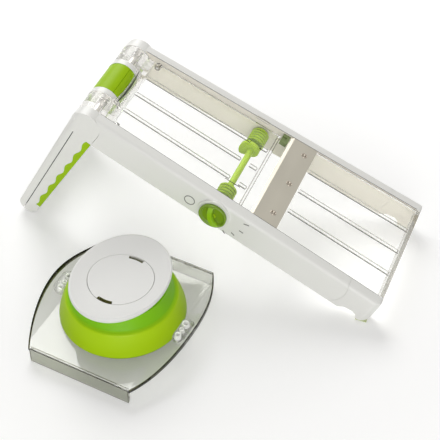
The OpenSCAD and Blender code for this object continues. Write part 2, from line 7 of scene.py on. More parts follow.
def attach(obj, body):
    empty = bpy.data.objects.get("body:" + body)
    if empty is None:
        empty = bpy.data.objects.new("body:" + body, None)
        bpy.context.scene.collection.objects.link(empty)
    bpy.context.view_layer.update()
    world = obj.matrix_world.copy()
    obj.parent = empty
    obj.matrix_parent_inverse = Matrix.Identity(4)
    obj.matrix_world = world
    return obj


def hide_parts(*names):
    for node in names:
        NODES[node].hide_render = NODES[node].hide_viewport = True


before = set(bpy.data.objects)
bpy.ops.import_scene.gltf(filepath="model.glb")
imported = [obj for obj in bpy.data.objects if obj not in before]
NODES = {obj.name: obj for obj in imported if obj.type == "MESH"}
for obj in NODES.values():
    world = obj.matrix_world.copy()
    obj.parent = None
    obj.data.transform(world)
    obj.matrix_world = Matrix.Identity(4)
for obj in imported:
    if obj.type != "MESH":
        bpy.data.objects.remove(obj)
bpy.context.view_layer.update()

# Mandoline slicer: materials for the CAD nodes, finer pieces that stand for some of them,
# then the camera, the floor and the lights of the photograph.

SC = bpy.context.scene
MM = 0.001
PI = math.pi
TINY = 0.001                        # radius in mm of a ring that is welded to one point
WELD = 0.002 * MM                   # points closer than this are welded
SIDES = ((-1, "near"), (1, "far"))


# ---------------------------------------------------------------- frames
# Sizes and places of the shapes are in mm; shift() and the mesh helpers make metres of them.
def shift(u, v, w):
    """Move by u, v, w in mm."""
    return Matrix.Translation((u * MM, v * MM, w * MM))


def turn(angle, axis):
    """Rotation round one axis."""
    return Matrix.Rotation(angle, 4, axis)


# body frame: u along the rails from the high end, v across, w square to the rails
TILT = math.radians(22.9)
LAY = shift(3, 73, 0) @ turn(TILT, "Y") @ shift(-364, 0, 35.8)
PLATE_NORMAL = (math.sin(TILT), 0, math.cos(TILT))
# food holder frame: x across it, y along it
HOLD = shift(-223.7, -97.4, 0) @ turn(math.radians(-5.2), "Z")


def across(u, v, w, side=-1):
    """Frame whose z looks out of one side of the body (-1 near, 1 far), with x along the rails."""
    return LAY @ shift(u, v, w) @ turn(-side * PI / 2, "X")


# ---------------------------------------------------------------- node helpers
def srgb(r, g, b):
    """8 bit colour to linear RGBA."""
    out = []
    for c in (r, g, b):
        c /= 255
        out.append(c / 12.92 if c <= 0.04045 else ((c + 0.055) / 1.055) ** 2.4)
    return (*out, 1.0)


def mul(c, k):
    """A colour k times as bright, held at 1."""
    return (min(1, c[0] * k), min(1, c[1] * k), min(1, c[2] * k), 1.0)


def new_material(name):
    """A material, its node tree and its main shader."""
    m = bpy.data.materials.new(name)
    m.use_nodes = True
    return m, m.node_tree, m.node_tree.nodes["Principled BSDF"]


def add(nt, kind, **kw):
    """A new node with its properties set."""
    n = nt.nodes.new(kind)
    for k, v in kw.items():
        setattr(n, k, v)
    return n


def coords(nt, scale=(1, 1, 1)):
    """Object coordinates times scale."""
    tc = add(nt, "ShaderNodeTexCoord")
    mp = add(nt, "ShaderNodeMapping")
    mp.inputs["Scale"].default_value = scale
    nt.links.new(tc.outputs["Object"], mp.inputs["Vector"])
    return mp.outputs["Vector"]


def one_axis(nt, kind, axis):
    """X, Y or Z of the object coordinates (in metres) or of the normal."""
    tc = add(nt, "ShaderNodeTexCoord")
    sp = add(nt, "ShaderNodeSeparateXYZ")
    nt.links.new(tc.outputs[kind], sp.inputs[0])
    return sp.outputs[axis]


def noise_tex(nt, vec, scale, detail, rough=0.5):
    """Noise whose cells are smaller with a larger scale."""
    n = add(nt, "ShaderNodeTexNoise")
    n.inputs["Scale"].default_value = scale
    n.inputs["Detail"].default_value = detail
    n.inputs["Roughness"].default_value = rough
    nt.links.new(vec, n.inputs["Vector"])
    return n.outputs["Fac"]


def span(nt, fac, lo, hi, a=0.3, b=0.7):
    """The range a to b of fac becomes lo to hi, and is held outside it."""
    m = add(nt, "ShaderNodeMapRange")
    m.inputs["From Min"].default_value = a
    m.inputs["From Max"].default_value = b
    m.inputs["To Min"].default_value = lo
    m.inputs["To Max"].default_value = hi
    nt.links.new(fac, m.inputs["Value"])
    return m.outputs["Result"]


def two_tone(nt, fac, a, b):
    """Mix of two colours; a and b are colours or sockets."""
    m = add(nt, "ShaderNodeMix", data_type="RGBA")
    for slot, c in ((6, a), (7, b)):
        if isinstance(c, tuple):
            m.inputs[slot].default_value = c
        else:
            nt.links.new(c, m.inputs[slot])
    nt.links.new(fac, m.inputs[0])
    return m.outputs[2]


def bump(nt, height, strength, dist):
    """A normal tilted by a height; dist is in metres."""
    b = add(nt, "ShaderNodeBump")
    b.inputs["Strength"].default_value = strength
    b.inputs["Distance"].default_value = dist
    nt.links.new(height, b.inputs["Height"])
    return b.outputs["Normal"]


def edge_shade_mask(nt, direction, lo, hi):
    """1 on faces that lie square to a plate, 0 on the plate's own faces: where painted edge shade
    goes.
    """
    tc = add(nt, "ShaderNodeTexCoord")
    dot = add(nt, "ShaderNodeVectorMath", operation="DOT_PRODUCT")
    dot.inputs[1].default_value = direction
    nt.links.new(tc.outputs["Normal"], dot.inputs[0])
    size = add(nt, "ShaderNodeMath", operation="ABSOLUTE")
    nt.links.new(dot.outputs["Value"], size.inputs[0])
    return span(nt, size.outputs[0], 1, 0, lo, hi)


# ---------------------------------------------------------------- kinds of material
DRIFT_SCALE, GLOSS_SCALE = 9, 420           # slow colour drift, patches of gloss
GRAIN_DEEP, SCRATCH_DEEP, SINK_DEEP = 0.00005, 0.00003, 0.0002      # bumps in metres
SHADE_FACE_Y = (-0.97, -0.85)                 # Y of the normal: wholly inner, not inner
STEEL_TONE = 0.03                           # slow drift of the steel's colour, up and down


def moulded(name, col, rough, tone, grain=1400, lift=0.1, spec=0.5, shaded_top=None, split=(0, 1),
            inner=None):
    """Injection moulded plastic or rubber: slow colour drift, fine grain, uneven gloss.
    With a top colour, the colour turns to it between the two heights of split, which paints shade
    on the top; with inner, faces towards -Y take that tone, which paints shade on inner faces."""
    m, nt, p = new_material(name)
    vec = coords(nt)
    slow = span(nt, noise_tex(nt, vec, DRIFT_SCALE, detail=1), 0, 1)
    mid = noise_tex(nt, vec, GLOSS_SCALE, detail=4)
    fine = noise_tex(nt, vec, grain, detail=2)
    colour = two_tone(nt, slow, mul(col, 1 - tone), mul(col, 1 + tone))
    # a darker colour towards the top: painted shade
    if shaded_top:
        high = two_tone(nt, slow, mul(shaded_top, 1 - tone), mul(shaded_top, 1 + tone))
        colour = two_tone(nt, span(nt, one_axis(nt, "Object", "Z"), 0, 1, *split), colour, high)
    # faces towards -Y take the inner tone: painted shade
    if inner:
        painted_shade_faces = span(nt, one_axis(nt, "Normal", "Y"), 1, 0, *SHADE_FACE_Y)
        colour = two_tone(nt, painted_shade_faces, colour, inner)
    nt.links.new(colour, p.inputs["Base Color"])
    nt.links.new(span(nt, mid, *rough), p.inputs["Roughness"])
    nt.links.new(bump(nt, fine, lift, GRAIN_DEEP), p.inputs["Normal"])
    p.inputs["Specular IOR Level"].default_value = spec
    return m


def brushed(name, col, rough=(0.3, 0.38), along=(60, 3, 60), aniso=0.3):
    """Brushed steel: long fine scratches in one direction, or none with equal scales."""
    m, nt, p = new_material(name)
    p.inputs["Metallic"].default_value = 1.0
    p.inputs["Anisotropic"].default_value = aniso
    lines = noise_tex(nt, coords(nt, along), scale=40, detail=3, rough=0.6)
    slow = span(nt, noise_tex(nt, coords(nt), scale=16, detail=2), 0, 1)
    dull, bright = mul(col, 1 - STEEL_TONE), mul(col, 1 + STEEL_TONE)
    nt.links.new(two_tone(nt, slow, dull, bright), p.inputs["Base Color"])
    nt.links.new(span(nt, lines, *rough), p.inputs["Roughness"])
    nt.links.new(bump(nt, lines, strength=0.06, dist=SCRATCH_DEEP), p.inputs["Normal"])
    return m


LAMP_SHARE = 0.93           # share of the tint that a lamp's light keeps behind clear plastic


def clear(name, tint, edge, normal=(0, 0, 1), mask=(0.3, 0.5), rough=(0.01, 0.04), ior=1.46,
          depth=6.0, body=(0.80, 0.79, 0.72, 1), haze=0.0):
    """Clear moulded plastic: cut edges take the edge colour, a painted shade for the dark look of
    thick clear edges; long paths in it take on the body colour, and lamps reach what is behind it."""
    m, nt, p = new_material(name)
    p.inputs["Transmission Weight"].default_value = 1.0 - haze
    p.inputs["IOR"].default_value = ior
    vec = coords(nt)
    slow = span(nt, noise_tex(nt, vec, scale=18, detail=2), 0, 1)
    plate = two_tone(nt, slow, mul(tint, 0.99), tint)
    # faces square to the plate take the edge colour: painted shade
    nt.links.new(two_tone(nt, edge_shade_mask(nt, normal, *mask), plate, edge), p.inputs["Base Color"])
    gloss = noise_tex(nt, vec, scale=60, detail=3)
    waves = noise_tex(nt, vec, scale=45, detail=1)
    nt.links.new(span(nt, gloss, *rough), p.inputs["Roughness"])
    nt.links.new(bump(nt, waves, strength=0.04, dist=SINK_DEEP), p.inputs["Normal"])
    out = nt.nodes["Material Output"]
    path = add(nt, "ShaderNodeLightPath")
    lamp = add(nt, "ShaderNodeBsdfTransparent")
    lamp.inputs["Color"].default_value = mul(tint, LAMP_SHARE)
    both = add(nt, "ShaderNodeMixShader")
    nt.links.new(path.outputs["Is Shadow Ray"], both.inputs[0])
    nt.links.new(p.outputs[0], both.inputs[1])
    nt.links.new(lamp.outputs[0], both.inputs[2])
    nt.links.new(both.outputs[0], out.inputs["Surface"])
    if depth:
        vol = add(nt, "ShaderNodeVolumeAbsorption")
        vol.inputs["Color"].default_value = body
        vol.inputs["Density"].default_value = depth
        nt.links.new(vol.outputs[0], out.inputs["Volume"])
    return m


# ---------------------------------------------------------------- materials
# moulded: name, colour, roughness range, colour drift, scale and strength of the grain
WHITE = moulded("white_abs", srgb(240, 240, 236), (0.3, 0.33), 0.004, 700, 0.012)
CAPW = moulded("white_cap", srgb(240, 240, 238), (0.42, 0.46), 0.003, 700, 0.015, spec=0.35)
# the far rail's white takes a beige tone on its inner faces: painted shade
WHITE_FAR_SHADED = moulded("white_abs_far_painted_shade", srgb(240, 240, 236), (0.3, 0.33), 0.004, 700, 0.012,
               inner=srgb(238, 233, 221))
LIME = moulded("lime_rubber", srgb(160, 200, 4), (0.38, 0.46), 0.03, 1900, 0.2, spec=0.16)
# the bell turns a darker green above its crease: painted shade under the cap, partly also the
# colour of its thinner upper wall
SOFT = moulded("lime_silicone", srgb(176, 216, 0), (0.36, 0.44), 0.03, 1200, 0.1, spec=0.22,
               shaded_top=srgb(128, 196, 6), split=(0.0452, 0.0478))
# darker lime for the cams' grooves and the foot of the bell's skirt: painted shade
LIME_SHADE = moulded("lime_abs_painted_shade", srgb(122, 148, 6), (0.34, 0.42), 0.03, 1400, 0.06, spec=0.1)
GREEN = moulded("lime_abs", srgb(164, 196, 18), (0.28, 0.36), 0.03, 1400, 0.06, spec=0.2)
# the dial is a darker green, painted shade in its cup; its raised grip bar is a lighter green, a
# painted highlight
DIAL_SHADE_GREEN = moulded("dial_green_painted_shade", srgb(124, 158, 34), (0.12, 0.16), 0.08, 900, 0.03, spec=0.35)
DIAL_LIT_GREEN = moulded("dial_green_painted_highlight", srgb(150, 200, 28), (0.14, 0.2), 0.06, 900, 0.03, spec=0.35)
TABG = moulded("tab_green", srgb(122, 138, 84), (0.3, 0.36), 0.05)
PADG = moulded("foot_pad_green", srgb(198, 208, 160), (0.4, 0.5), 0.03)
OLIVE = moulded("slot_floor", srgb(104, 104, 52), (0.5, 0.6), 0.05)
# dark grey for the rubber leg pads and the parting lines, and for the hood line that paints a
# shadow
DARK_RUBBER_AND_SHADOW = moulded("dark_rubber_and_painted_shadow", srgb(62, 62, 58), (0.42, 0.5), 0.06, 1600, 0.2)
# grey for the dial's print, and for the rail lines that paint shade
GREY_PRINT_AND_SHADE = moulded("pad_print_and_painted_shade", srgb(112, 112, 108), (0.45, 0.55), 0.05)

STEEL = brushed("blade_steel", srgb(179, 174, 161))
RIVET = brushed("rivet_steel", srgb(166, 158, 146), (0.22, 0.3), (40, 40, 40), aniso=0.0)
PIN = brushed("bright_steel", srgb(205, 203, 197), (0.18, 0.26), (40, 40, 40), aniso=0.0)

# clear: name, tint, painted shade colour of cut edges, normal of the plate
CLEAR = clear("clear_plate", (0.985, 0.985, 0.975, 1), (0.60, 0.59, 0.56, 1), PLATE_NORMAL)
KNUCKLE = clear("clear_knuckle", (0.975, 0.965, 0.945, 1), (0.95, 0.94, 0.92, 1), PLATE_NORMAL,
                rough=(0.1, 0.14), ior=1.33, depth=3.0, body=(0.78, 0.75, 0.68, 1), haze=0.18)
SMOKE = clear("clear_guard", (0.69, 0.697, 0.66, 1), (0.45, 0.46, 0.40, 1), mask=(0.2, 0.4),
              depth=8.0, body=(0.76, 0.77, 0.66, 1))
BUBBLE = clear("clear_boss", (0.97, 0.97, 0.96, 1), (0.86, 0.86, 0.84, 1), rough=(0.05, 0.09),
               ior=1.25, depth=0, haze=0.12)
# grey for beads that paint shade along the clear plates' edges
EDGE_SHADE_GREY = clear("clear_edge_painted_shade", (0.55, 0.54, 0.51, 1), (0.55, 0.54, 0.51, 1), ior=1.06, depth=0)
# dark olive for beads that paint shade along the guard's rims
OLIVE_EDGE_SHADE = clear("guard_edge_painted_shade", (0.24, 0.24, 0.15, 1), (0.24, 0.24, 0.15, 1), ior=1.1, depth=0)

USE = {
    "near_rail": WHITE, "far_rail": WHITE_FAR_SHADED, "near_end_cap": WHITE, "far_end_cap": WHITE_FAR_SHADED,
    "foot_pads": PADG, "cap_screws": PIN, "end_bracket": KNUCKLE, "outfeed_ramp": CLEAR,
    "blade": STEEL, "blade_rivets": PIN, "lock_tab": TABG, "dial_marks": GREY_PRINT_AND_SHADE,
    "ramp_pins": PIN, "infeed_ramp": CLEAR, "dial": DIAL_SHADE_GREEN, "cam_shaft": GREEN,
    "near_cam": GREEN, "far_cam": GREEN, "cam_disc": GREEN, "shaft_clip": PIN,
    "leg_frame": WHITE, "leg_inner_shells": WHITE, "leg_grips": LIME, "leg_pads": DARK_RUBBER_AND_SHADOW,
    "barrel_sleeve": LIME, "barrel_rings": WHITE, "leg_axle": PIN, "guard": SMOKE,
    "guard_clips": BUBBLE, "soft_body": SOFT, "holder_cap": CAPW, "button": CAPW,
    "plunger_tube": WHITE, "prong_plate": WHITE, "prongs": PIN,
}


# ---------------------------------------------------------------- mesh helpers
def smooth_by_angle(me, deg):
    """Smooth shading, with sharp edges where faces meet at more than deg."""
    for p in me.polygons:
        p.use_smooth = True
    me.set_sharp_from_angle(angle=math.radians(deg))


def new_object(name, data):
    """An object in the scene."""
    ob = bpy.data.objects.new(name, data)
    SC.collection.objects.link(ob)
    return ob


def put(name, bm, mats, body, stands_for, place, deg):
    """A piece of the scene from a bmesh; place is its frame, deg its smoothing angle."""
    bmesh.ops.recalc_face_normals(bm, faces=bm.faces)
    me = bpy.data.meshes.new(name)
    bm.to_mesh(me)
    bm.free()
    me.transform(place)
    for m in mats:
        me.materials.append(m)
    smooth_by_angle(me, deg)
    ob = new_object(name, me)
    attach(ob, body)
    if stands_for:
        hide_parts(*stands_for)
    return ob


def second_material(ob, place, test):
    """The second material for faces whose centre, in mm in the piece's frame, passes test."""
    back = place.inverted()
    for p in ob.data.polygons:
        if test(*(back @ p.center / MM)):
            p.material_index = 1


def add_copy(bm, part, place):
    """Add the bmesh part to bm in its own place, and free it."""
    me = bpy.data.meshes.new("part")
    part.to_mesh(me)
    part.free()
    me.transform(place)
    bm.from_mesh(me)


def between(t, p0, p1, p2, p3):
    """Catmull-Rom point between p1 and p2."""
    return tuple(0.5 * (2 * b + (c - a) * t + (2 * a - 5 * b + 4 * c - d) * t * t
                        + (3 * b - a - 3 * c + d) * t ** 3)
                 for a, b, c, d in zip(p0, p1, p2, p3))


def smooth_path(pts, n):
    """A smooth line through the points, with n steps from each to the next."""
    out = []
    last = len(pts) - 1
    for i in range(last):
        near = (pts[max(i - 1, 0)], pts[i], pts[i + 1], pts[min(i + 2, last)])
        out += [between(k / n, *near) for k in range(n)]
    out.append(tuple(pts[-1]))
    return out


def step(t):
    """0 below 0, 1 above 1 and a smooth rise between."""
    t = max(0.0, min(1.0, t))
    return t * t * (3 - 2 * t)


def rings_to_mesh(bm, rings, around=True, along=True):
    """Quads between rows of points; around closes each row, along closes the set of rows."""
    rows = [[bm.verts.new(Vector(p) * MM) for p in r] for r in rings]
    n = len(rows[0])
    for i in range(len(rows) if along else len(rows) - 1):
        a, b = rows[i], rows[(i + 1) % len(rows)]
        for k in range(n if around else n - 1):
            bm.faces.new((a[k], a[(k + 1) % n], b[(k + 1) % n], b[k]))


def lathe(profile_at, seg, closed=True):
    """The (r, z) profile that profile_at gives for each angle, round z, as a bmesh.
    A profile that isn't closed starts and ends on the axis."""
    bm = bmesh.new()
    rows = []
    for k in range(seg):
        f = 2 * PI * k / seg
        rows.append([(r * math.cos(f), r * math.sin(f), z) for r, z in profile_at(f)])
    rings_to_mesh(bm, rows, around=closed)
    return bm


def turned(prof, seg):
    """One closed (r, z) profile turned round z, as a bmesh."""
    return lathe(lambda f: prof, seg)


TUBE_SIDES = 8


def tube(bm, pts, r):
    """A round bead along a list of points, closed at both ends."""
    pts = [Vector(p) for p in pts]
    n = TUBE_SIDES
    rings = []
    up = Vector((0, 0, 1))
    for i, p in enumerate(pts):
        way = (pts[min(i + 1, len(pts) - 1)] - pts[max(i - 1, 0)]).normalized()
        if abs(way.dot(up)) > 0.9:
            up = Vector((1, 0, 0))
        a = way.cross(up).normalized()
        b = way.cross(a).normalized()
        up = -b
        rings.append([bm.verts.new((p + (a * math.cos(t) + b * math.sin(t)) * r) * MM)
                      for t in (2 * PI * k / n for k in range(n))])
    for q0, q1 in zip(rings, rings[1:]):
        for k in range(n):
            bm.faces.new((q0[k], q0[(k + 1) % n], q1[(k + 1) % n], q1[k]))
    bm.faces.new(rings[0])
    bm.faces.new(rings[-1][::-1])


def slab(outline, v0, v1, edge, segs):
    """A closed (u, w) outline carried from v0 to v1 with its rims rounded."""
    bm = bmesh.new()
    a = [bm.verts.new(Vector((u, v0, w)) * MM) for u, w in outline]
    b = [bm.verts.new(Vector((u, v1, w)) * MM) for u, w in outline]
    f0, f1 = bm.faces.new(a), bm.faces.new(b[::-1])
    n = len(a)
    for k in range(n):
        bm.faces.new((a[k], b[k], b[(k + 1) % n], a[(k + 1) % n]))
    rims = list(set(list(f0.edges) + list(f1.edges)))
    bmesh.ops.bevel(bm, geom=rims, offset=edge * MM, segments=segs, profile=0.5,
                    affect="EDGES", clamp_overlap=True)
    return bm


# ---------------------------------------------------------------- CAD nodes
NODE_SMOOTH, BEVEL_FROM, BEVEL_STEPS = 32, 40, 2        # two angles in degrees, and a count
BEVELS = {
    "guard": 0.4, "cam_disc": 0.5, "near_rail": 0.5, "far_rail": 0.5, "near_end_cap": 0.6,
    "far_end_cap": 0.6, "leg_frame": 0.7, "leg_inner_shells": 0.4, "barrel_rings": 0.8,
    "outfeed_ramp": 0.35, "infeed_ramp": 0.3, "end_bracket": 0.4,
}


def bevelled(name, width):
    """Small rounded edges on a CAD node that keeps its shape."""
    m = NODES[name].modifiers.new("edge", "BEVEL")
    m.width = width * MM
    m.segments = BEVEL_STEPS
    m.limit_method = "ANGLE"
    m.angle_limit = math.radians(BEVEL_FROM)
    m.use_clamp_overlap = True


for name, mat in USE.items():
    me = NODES[name].data
    me.materials.clear()
    me.materials.append(mat)
    smooth_by_angle(me, NODE_SMOOTH)
for name, width in BEVELS.items():
    bevelled(name, width)


# ---------------------------------------------------------------- food holder: cap
CAP_A, CAP_B = 59.4, 48.4                   # half length and half width of the oval
CAP_TOP, CAP_LOW, DISH_LOW = 70.5, 59.5, 62.2
DISH_RISE, DISH_EDGE, DISH_BOW = 7.6, 3.4, 2.2
BUTTON_R = 33.0
BORE_R = BUTTON_R + 0.4
SLEEVE_R, SLEEVE_LOW = 36.4, 19.2
DISH_STEPS, CAP_SEGS = 9, 160
DISH_IN, DISH_OUT = 1.2, 4.4                # the dish from the bore, and up to the oval's edge
# the cap's rim from the dish over the top to the underside: inset from the oval, drop
CAP_RIM = ((3.5, 0.75), (2.7, 0.28), (1.9, 0.05), (1.2, 0.12), (0.6, 0.5), (0.2, 1.15),
           (0, 2.1), (0.1, 3.2), (0.5, 4.6), (1.2, 6.2), (2.2, 7.8), (3.3, 9.2), (4.6, 10.2),
           (6.2, 10.8))


def rim_r(phi):
    """Radius of the cap's oval at an angle from its short axis."""
    return CAP_A * CAP_B / math.hypot(CAP_A * math.cos(phi), CAP_B * math.sin(phi))


def dish_z(r, phi):
    """Height of the dish that the cap and the button share."""
    return DISH_LOW + DISH_RISE * (r / (rim_r(phi) - DISH_EDGE)) ** DISH_BOW


def cap_profile(phi):
    """The cap in section: up the bore, over dish and rim, and down the outside of its sleeve."""
    rm = rim_r(phi)
    a, b = BORE_R + DISH_IN, rm - DISH_OUT
    mouth = dish_z(BORE_R, phi)
    pts = [(BORE_R, SLEEVE_LOW), (BORE_R, 40), (BORE_R, mouth - 0.9), (BORE_R + 0.12, mouth - 0.35),
           (BORE_R + 0.6, dish_z(BORE_R + 0.6, phi))]
    for i in range(DISH_STEPS + 1):
        r = a + (b - a) * i / DISH_STEPS
        pts.append((r, dish_z(r, phi)))
    pts += [(rm - inset, CAP_TOP - drop) for inset, drop in CAP_RIM]
    pts += [(rm - 8.2, CAP_LOW + 0.05), (SLEEVE_R + 2.0, CAP_LOW), (SLEEVE_R + 0.6, CAP_LOW - 0.5),
            (SLEEVE_R + 0.1, CAP_LOW - 1.6), (SLEEVE_R, 50), (SLEEVE_R, SLEEVE_LOW + 0.4),
            (SLEEVE_R - 0.3, SLEEVE_LOW), (BORE_R + 0.3, SLEEVE_LOW)]
    return pts


def make_cap():
    """White oval palm cap with its dished top."""
    put("palm_cap", lathe(cap_profile, CAP_SEGS), [CAPW], "holder", ["holder_cap"],
        HOLD, 50)


make_cap()


# ---------------------------------------------------------------- food holder: button
SLOT_R, SLOT_HALF, SLOT_DEEP = BUTTON_R - 3.45, math.radians(13.5), 3.2
LEDGE_R, LEDGE_DROP = 32.7, 0.16            # outside this radius the rim is this much lower
FLOOR_LOW, FLOOR_DROP, FLOOR_X = 57.5, 0.9, 8.2         # the slots' floor: heights, half length
BUTTON_LOW, BUTTON_WALL, BUTTON_ROOF = 51.6, 28.6, 57.3
BUTTON_SEGS = 192
BUTTON_RADII = [TINY, 4, 8, 12, 16, 20, 24, 27, 28.9, SLOT_R - 0.05, SLOT_R + 0.07, 30.6, 31.6,
                32.3, 32.8, BUTTON_R]


def button_profile(phi):
    """The button in section: its top, sunk in the finger slots, then its skirt and inside."""
    in_slot = min(abs(phi - PI / 2), abs(phi - 3 * PI / 2)) < SLOT_HALF
    pts = []
    for r in BUTTON_RADII:
        drop = LEDGE_DROP if r > LEDGE_R else 0.0
        sunk = SLOT_DEEP if in_slot and r > SLOT_R else 0.0
        pts.append((r, dish_z(r, phi) - drop - sunk))
    return pts + [(BUTTON_R, 58.6), (BUTTON_R, BUTTON_LOW), (BUTTON_WALL, BUTTON_LOW),
                  (BUTTON_WALL, BUTTON_ROOF), (13.4, BUTTON_ROOF + 0.1), (TINY, BUTTON_ROOF + 0.1)]


def on_slot_floor(x, y, z):
    """Whether a place on the button is on the floor of one of its two slots."""
    r = math.hypot(x, y)
    in_ring = SLOT_R - 0.15 < r < BUTTON_R + 0.4 and abs(x) < FLOOR_X
    return in_ring and FLOOR_LOW < z < dish_z(r, PI / 2) - FLOOR_DROP


def make_button():
    """Round inset button: dished top, rounded rim and two finger slots with an olive floor."""
    bm = lathe(button_profile, BUTTON_SEGS, closed=False)
    bmesh.ops.remove_doubles(bm, verts=bm.verts, dist=2 * WELD)
    ob = put("push_button", bm, [CAPW, OLIVE], "plunger", ["button"], HOLD, 40)
    second_material(ob, HOLD, on_slot_floor)


make_button()


# ---------------------------------------------------------------- food holder: soft body
# outside and inside of the bell as (radius, height): skirt, flank, crease and neck
SOFT_OUT = [(62.6, 19.0), (63.9, 19.2), (64.45, 20.1), (64.45, 21.6), (64.0, 24.4),
            (63.1, 28.2), (61.9, 32.4), (60.5, 36.6), (59.0, 40.6), (57.8, 43.4),
            (57.0, 44.9), (56.2, 45.7), (55.1, 46.3), (53.9, 46.8), (52.7, 47.7),
            (51.6, 49.3), (50.3, 51.7), (49.0, 54.0), (47.8, 56.4), (47.1, 58.4), (46.8, 59.35)]
SOFT_IN = [(46.2, 59.4), (41.5, 59.4), (40.9, 58.6), (41.3, 56.6), (44.6, 52.2), (47.5, 47.2),
           (52.4, 42.6), (55.8, 34.0), (58.6, 25.4), (58.4, 23.3), (57.0, 22.8), (40.0, 22.8),
           (37.4, 22.6), (37.1, 21.6), (37.1, 19.6), (37.5, 19.0)]
SOFT_SEGS = 160
# the skirt's foot takes painted shade
HEM_TOP, HEM_R = 20.3, 60.0                 # below and outside these the skirt is darker
# the guard's plate curls up on its long sides, on a circle from CURL_X outwards
CURL_X, CURL_Z, CURL_R = 56.5, 50.0, 31.0
PLATE_GAP = 0.05


def curl_z(x, r):
    """Height of the curled plate at x from the middle, on the curl's radius r."""
    return CURL_Z - math.sqrt(max(0.0, r ** 2 - max(0.0, x - CURL_X) ** 2))


def make_soft():
    """Lime bell; the guard's curled plate lifts its skirt a little on both long sides."""
    bm = turned(smooth_path(SOFT_OUT, 4) + smooth_path(SOFT_IN, 2), SOFT_SEGS)
    for v in bm.verts:
        x = abs(v.co.x) / MM
        if x > CURL_X:
            v.co.z = max(v.co.z, (curl_z(x, CURL_R) + PLATE_GAP) * MM)
    ob = put("soft_bell", bm, [SOFT, LIME_SHADE], "holder", ["soft_body"], HOLD, 60)
    # the skirt's foot takes the darker lime: painted shade
    second_material(ob, HOLD, lambda x, y, z: z < HEM_TOP and math.hypot(x, y) > HEM_R)


make_soft()


# ---------------------------------------------------------------- food holder: guard
BOSS_X, BOSS_Z = 68.8, 21.7
POST_TOP, POST_WALL, POST_SEGS = 5.6, 0.9, 40
POSTS = ((-9.0, 3.0), (-1.6, 2.3), (6.8, 3.4))          # place along the guard, radius
GUARD_HALF, GUARD_MID, GUARD_END = 87.0, 82.0, 57.5     # half length, half widths
SIDE_SAG = GUARD_MID - GUARD_END
SIDE_R = (GUARD_HALF ** 2 + SIDE_SAG ** 2) / (2 * SIDE_SAG)
PLATE_THICK = 2.4
RIM_INSET, RIM_REACH, RIM_STEPS = 0.75, 86.4, 48
SKIRT_OUT, SKIRT_IN, SKIRT_X = 86.55, 84.3, 56.0
# painted shade lines across an end skirt: place along the guard, height, radius of the bead
SKIRT_LINES = ((SKIRT_OUT, 18.7, 0.4), (SKIRT_IN, 18.9, 0.35), (SKIRT_OUT, 0.45, 0.42))


def make_boss_posts():
    """Hollow posts that show inside each clear boss of the guard."""
    for side, tag in ((1, "a"), (-1, "b")):
        bm = bmesh.new()
        for y, r in POSTS:
            wall = r - POST_WALL
            prof = [(wall, 0), (r, 0), (r, POST_TOP - 0.4), (r - 0.2, POST_TOP),
                    (wall + 0.2, POST_TOP), (wall, POST_TOP - 0.4)]
            add_copy(bm, turned(prof, POST_SEGS), shift(side * BOSS_X, y, BOSS_Z))
        put(f"boss_posts_{tag}", bm, [CAPW], "holder", (), HOLD, 40)


def guard_rim(side, r_curl, y):
    """Point on the guard's long rim, on its upper or its lower face."""
    x = GUARD_MID - SIDE_R + math.sqrt(SIDE_R ** 2 - y * y) - RIM_INSET
    return (side * x, y, curl_z(x, r_curl))


def make_guard_edge_shade():
    """Dark beads along the clear guard's rims, a painted shade of its edges: its long curled sides
    and its two end skirts.
    """
    bm = bmesh.new()
    rows = [RIM_REACH * (2 * i / RIM_STEPS - 1) for i in range(RIM_STEPS + 1)]
    for side in (-1, 1):
        for r_curl, thick in ((CURL_R, 0.7), (CURL_R + PLATE_THICK, 0.65)):
            tube(bm, [guard_rim(side, r_curl, y) for y in rows], thick)
    for end in (-1, 1):
        for y, z, thick in SKIRT_LINES:
            tube(bm, [(x, end * y, z) for x in (-SKIRT_X, 0, SKIRT_X)], thick)
        for x in (-SKIRT_X - 0.1, SKIRT_X + 0.1):
            tube(bm, [(x, end * SKIRT_OUT, z) for z in (0.5, 10, 18.6)], 0.4)
    put("guard_rim_shade", bm, [OLIVE_EDGE_SHADE], "holder", (), HOLD, 60)


make_boss_posts()
make_guard_edge_shade()


# ---------------------------------------------------------------- dial
DIAL_U, SHAFT_W, DIAL_V = 175.0, -19.4, -74.42
DIAL_R, DIAL_SEGS = 15.0, 128
DIAL_RADII = [TINY] + [0.45 * i for i in range(1, 33)] + [14.6, 14.85, DIAL_R]
DIAL_UNDER = [(DIAL_R, 1.2), (14.9, 0.3), (14.5, 0.0), (3.6, 0.0), (3.55, 0.4), (TINY, 0.4)]
# the cupped top; the wall and the fall at the lip are a first radius, a length and a height
CUP_FLOOR, CUP_WALL, CUP_LIP = 1.35, (11.2, 2.6, 2.2), (14.1, 0.9, 0.55)
# the grip bar: part of a ring that wraps round a point off the dial's middle
BAR_AIM, BAR_OFF, BAR_R = math.radians(34), 22.0, 23.6
BAR_X, BAR_Y = BAR_OFF * math.cos(BAR_AIM), BAR_OFF * math.sin(BAR_AIM)
BAR_HALF, BAR_SPREAD, BAR_FLANK = 2.2, 1.6, 1.3         # it is wider at its low end
CROWN_TOP, CROWN_BOW, CROWN_END = 7.1, 0.012, (12.2, 2.6, 2.3)
GRIP_FROM = 4.4                             # above this height the bar takes a lighter green, a painted highlight


def rise(r, start, length, high):
    """A smooth rise of the height high that starts at a radius and is length wide."""
    return high * step((r - start) / length)


